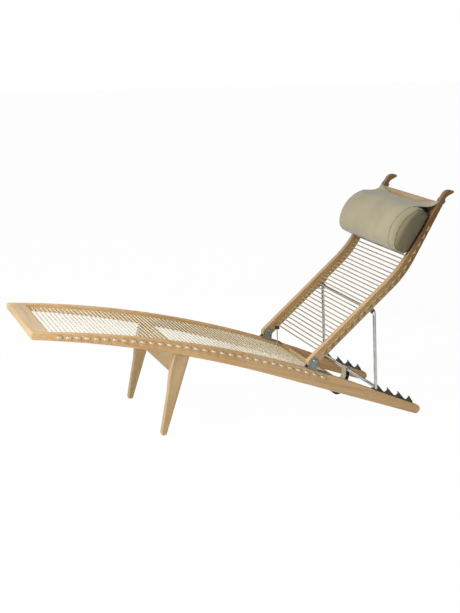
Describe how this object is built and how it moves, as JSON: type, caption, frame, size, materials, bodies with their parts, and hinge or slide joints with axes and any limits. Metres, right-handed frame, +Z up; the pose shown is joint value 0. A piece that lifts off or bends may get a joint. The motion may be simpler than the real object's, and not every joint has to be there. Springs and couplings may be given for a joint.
{
  "type": "deck chair",
  "caption": "Low reclining lounge chair: bowed oak rails laced with rope, folding back on a steel prop in notched racks, bolster pillow.",
  "frame": {"origin": "on the floor, under the middle of the chair's overall length and width", "axes": "+X from the foot end to the head end, +Y to the sitter's right, +Z up"},
  "size_m": [1.5811, 0.5878, 0.8379],
  "materials": {
    "oak": "oiled oak, planed and sanded",
    "oak_light": "oiled oak, pale",
    "beech": "bare turned beech",
    "seat_rope": "laid cream flag line",
    "back_rope": "laid tan flag line",
    "hinge_steel": "zinc plated steel",
    "rack_iron": "blackened steel",
    "bush_brass": "turned brass",
    "prop_steel": "polished round steel",
    "clamp_plastic": "black moulded clamp",
    "tape": "cotton tape",
    "strap_webbing": "cotton webbing with a black inner face",
    "pillow_cloth": "plain woven khaki cotton"
  },
  "bodies": {
    "seat_frame": {"seat_rail_left": "oak", "seat_rail_right": "oak", "foot_board": "oak_light", "leg_left": "oak", "leg_right": "oak", "leg_apron": "oak", "rear_stretcher": "oak", "seat_frame_dowels": "beech", "seat_lacing": "seat_rope", "hinge_bracket_left": "hinge_steel", "hinge_bracket_right": "hinge_steel", "hinge_bolts": "hinge_steel", "hinge_nuts": "hinge_steel", "bracket_screws": "hinge_steel", "rack_left": "rack_iron", "rack_right": "rack_iron", "rack_screws": "rack_iron"},
    "back": {"back_rail_left": "oak", "back_rail_right": "oak", "head_slat": "oak", "head_slat_dowels": "beech", "back_lacing": "back_rope", "hinge_bushes": "bush_brass", "saddle_left": "prop_steel", "saddle_right": "prop_steel", "saddle_screws": "prop_steel", "lacing_tail": "back_rope", "lacing_clamp": "clamp_plastic", "pillow_loop_left": "tape", "pillow_loop_right": "tape"},
    "prop": {"prop_loop": "prop_steel", "pull_strap": "strap_webbing"},
    "pillow": {"bolster": "pillow_cloth", "pillow_flap": "pillow_cloth"}
  },
  "joints": [
    {"name": "back_fold", "type": "hinge", "parent": "seat_frame", "child": "back", "pos_m": [0.24772, 0, 0.232], "axis": [0, -1, 0], "range_deg": [0, 100]},
    {"name": "prop_swing", "type": "hinge", "parent": "back", "child": "prop", "pos_m": [0.4817, 0, 0.399], "axis": [0, -1, 0], "range_deg": [-43, 0]},
    {"name": "pillow_lift", "type": "hinge", "parent": "back", "child": "pillow", "pos_m": [0.73106, 0, 0.7983], "axis": [0, 1, 0], "range_deg": [0, 30]}
  ],
  "couplings": [
    {"joint": "prop_swing", "follows": "back_fold", "ratio": -0.43}
  ]
}
